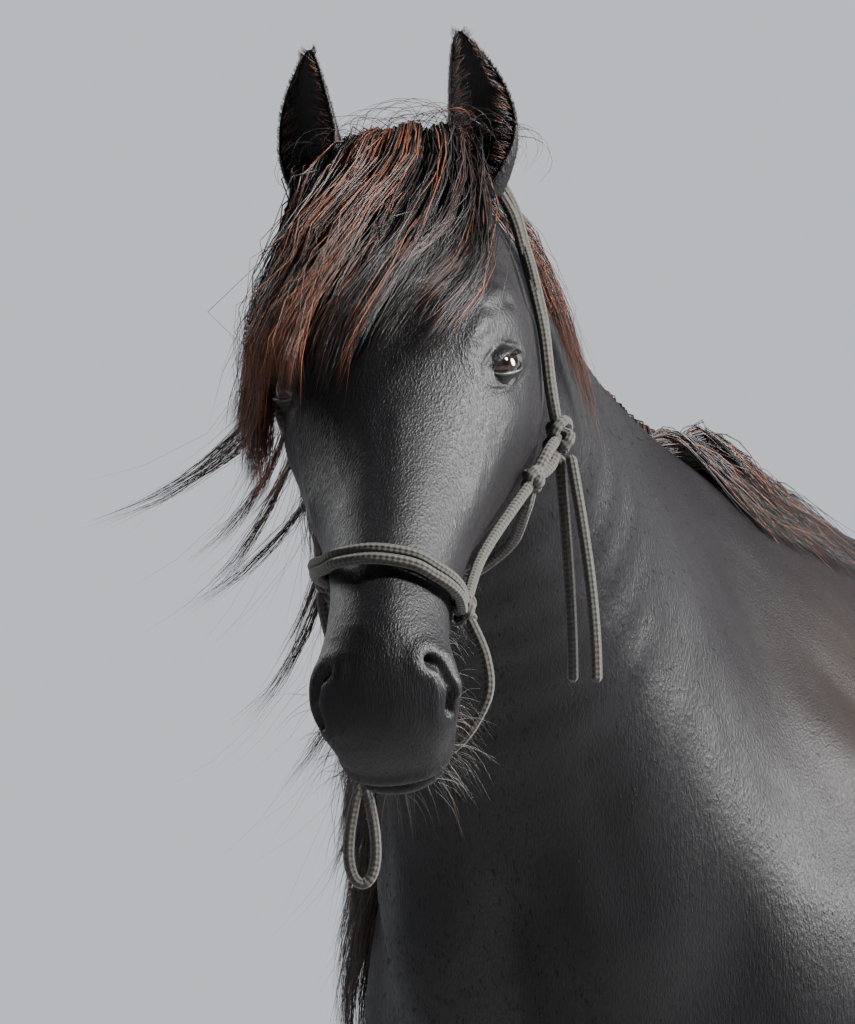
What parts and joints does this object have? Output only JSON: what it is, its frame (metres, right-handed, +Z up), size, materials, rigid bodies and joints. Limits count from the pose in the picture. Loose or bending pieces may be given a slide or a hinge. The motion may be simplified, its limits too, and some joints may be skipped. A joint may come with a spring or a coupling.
{
  "type": "horse",
  "caption": "Black Friesian horse standing square, head turned to its left, long wind-blown mane and forelock, feathered legs and a knotted rope halter",
  "frame": {"origin": "on the floor under the centre of the horse's box, measured without the free rope ends", "axes": "+Y towards the tail, so the horse faces -Y; +X towards the horse's left side; +Z up"},
  "size_m": [0.7112, 2.5958, 2.0241],
  "materials": {
    "coat": "short glossy black hair over skin",
    "hair": "long wavy black hair, browner at the tips",
    "hoof": "dark horn, satin",
    "eye": "wet dark brown eye",
    "rope": "braided grey-olive rope, matt"
  },
  "bodies": {
    "root": {"torso": "coat", "neck": "coat", "head": "coat", "eye_left": "eye", "ear_left": "coat", "eye_right": "eye", "ear_right": "coat", "fore_left_upper_leg": "coat", "fore_left_lower_leg": "coat", "fore_left_hoof": "hoof", "fore_right_upper_leg": "coat", "fore_right_lower_leg": "coat", "fore_right_hoof": "hoof", "hind_left_upper_leg": "coat", "hind_left_lower_leg": "coat", "hind_left_hoof": "hoof", "hind_right_upper_leg": "coat", "hind_right_lower_leg": "coat", "hind_right_hoof": "hoof", "tail": "hair", "halter_cheek_left": "rope", "halter_cheek_right": "rope", "halter_noseband": "rope", "halter_crown": "rope", "halter_chin_rope": "rope", "halter_throat_rope": "rope", "halter_tie_end_front": "rope", "halter_tie_end_back": "rope", "halter_chin_loop": "rope"}
  },
  "joints": []
}
